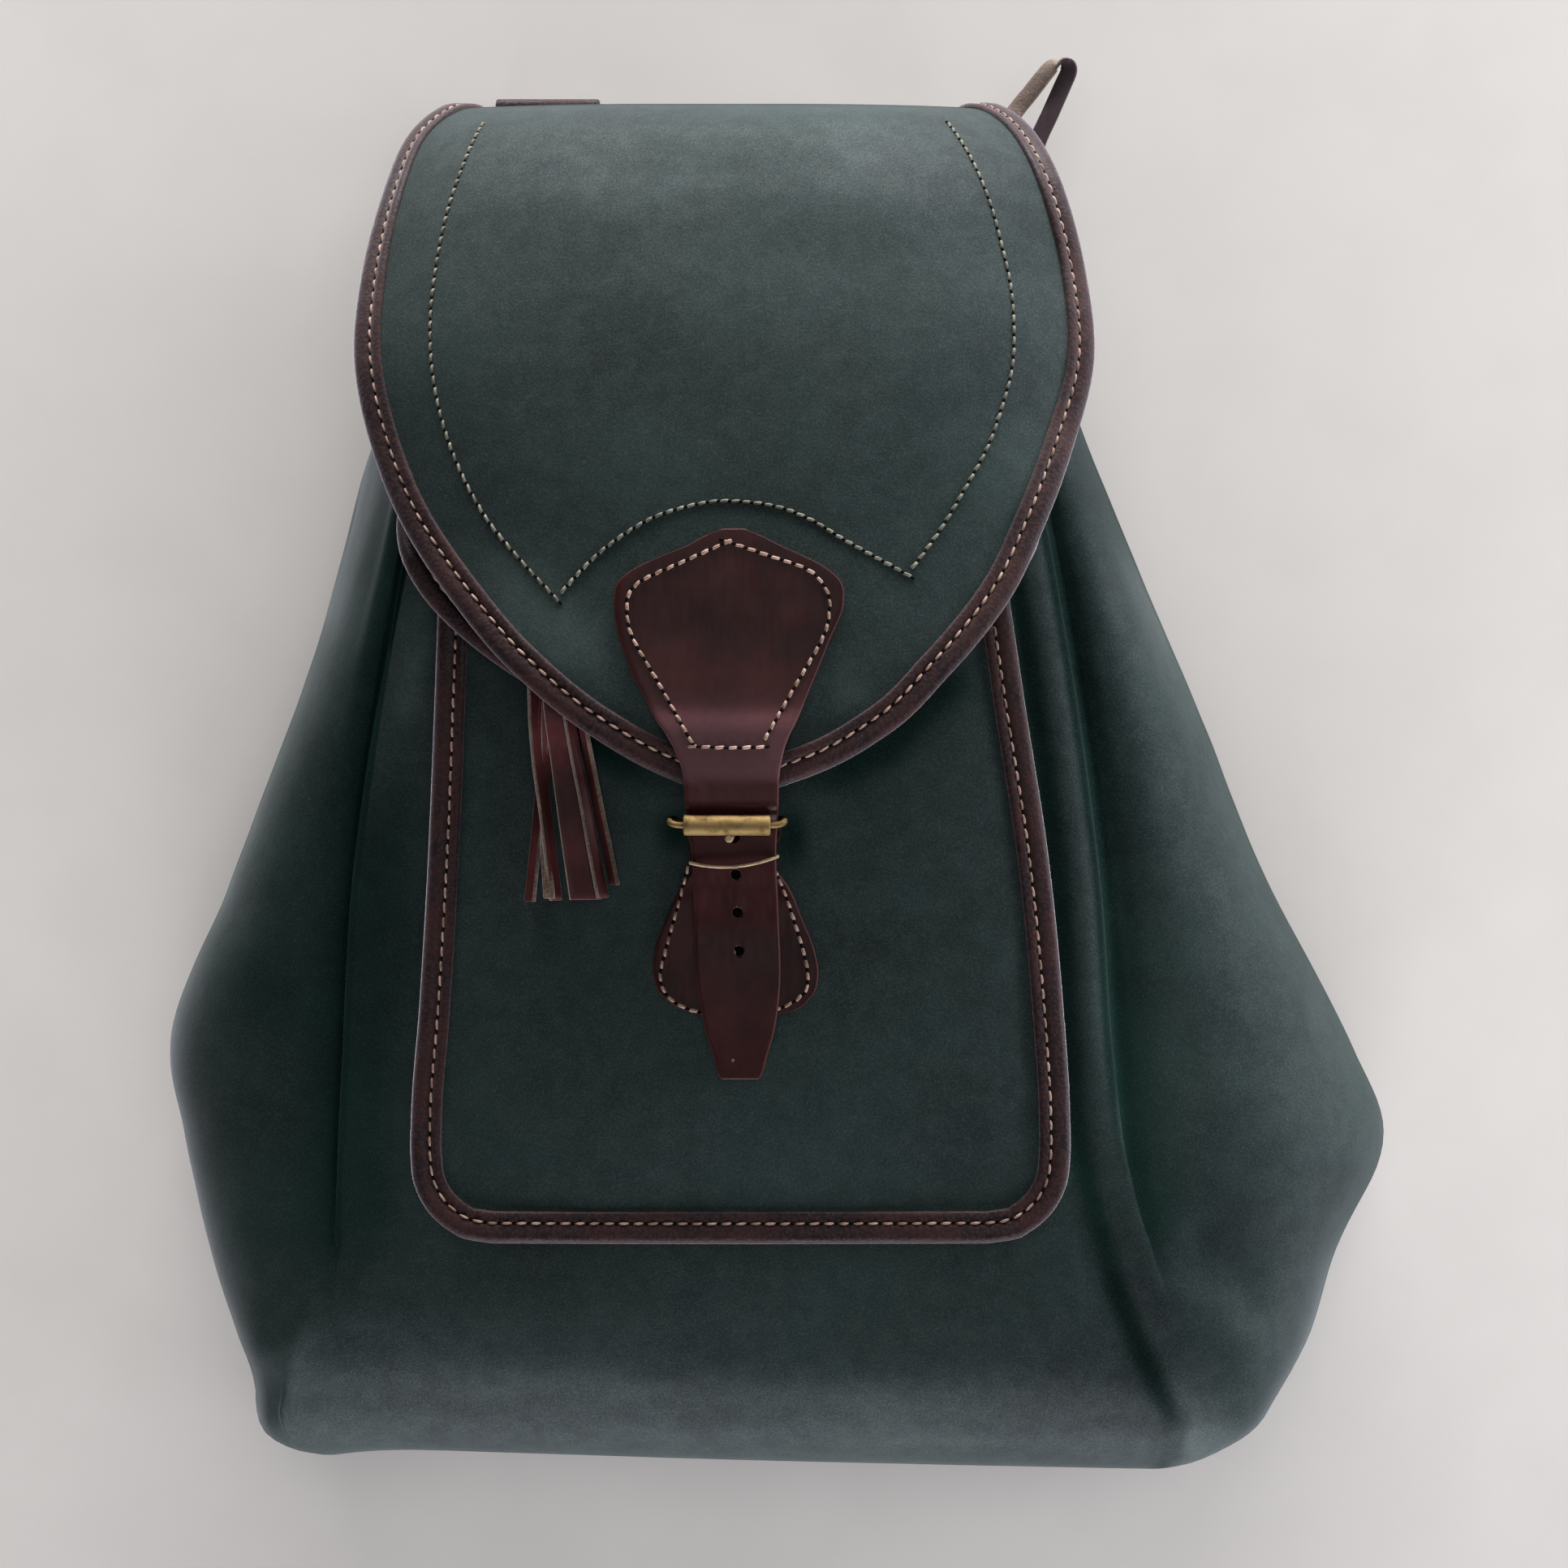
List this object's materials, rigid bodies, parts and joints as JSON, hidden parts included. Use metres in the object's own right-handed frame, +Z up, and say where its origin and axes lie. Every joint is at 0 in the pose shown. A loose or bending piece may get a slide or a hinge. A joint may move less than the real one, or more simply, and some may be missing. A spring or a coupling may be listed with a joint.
{
  "type": "leather rucksack",
  "caption": "Flap-top drawstring rucksack of nubuck leather with bound edges, a front pocket, a roller buckle and a tassel, lying on its back.",
  "frame": {"origin": "on the ground, under the middle of the rucksack's box without its drawstring, as it lies on its back", "axes": "+Z up, out of the rucksack's front; +Y from its base to its flap's hinge; +X to the right as the front is looked at"},
  "size_m": [0.3846, 0.4347, 0.1287],
  "materials": {
    "nubuck": "dark green nubuck with a short matt nap and a bluish sheen at grazing angles",
    "smooth_leather": "smooth plum-brown leather with a soft shine and a fine grain",
    "brass": "aged brass, brushed by wear",
    "lace_leather": "flat cut leather lace with a tan flesh side"
  },
  "bodies": {
    "root": {"back_panel": "nubuck", "base_panel": "nubuck", "body_front": "nubuck", "buckle_frame": "brass", "buckle_patch": "smooth_leather", "buckle_prong": "brass", "buckle_roller": "brass", "drawstring": "lace_leather", "flap": "nubuck", "flap_binding": "smooth_leather", "flap_strap": "smooth_leather", "lid_binding": "smooth_leather", "pocket_binding": "smooth_leather", "pocket_front": "nubuck", "pocket_gusset": "nubuck", "pocket_lid": "nubuck", "shoulder_strap_left": "nubuck", "shoulder_strap_right": "nubuck", "strap_keeper": "brass", "tassel": "smooth_leather"}
  },
  "joints": []
}
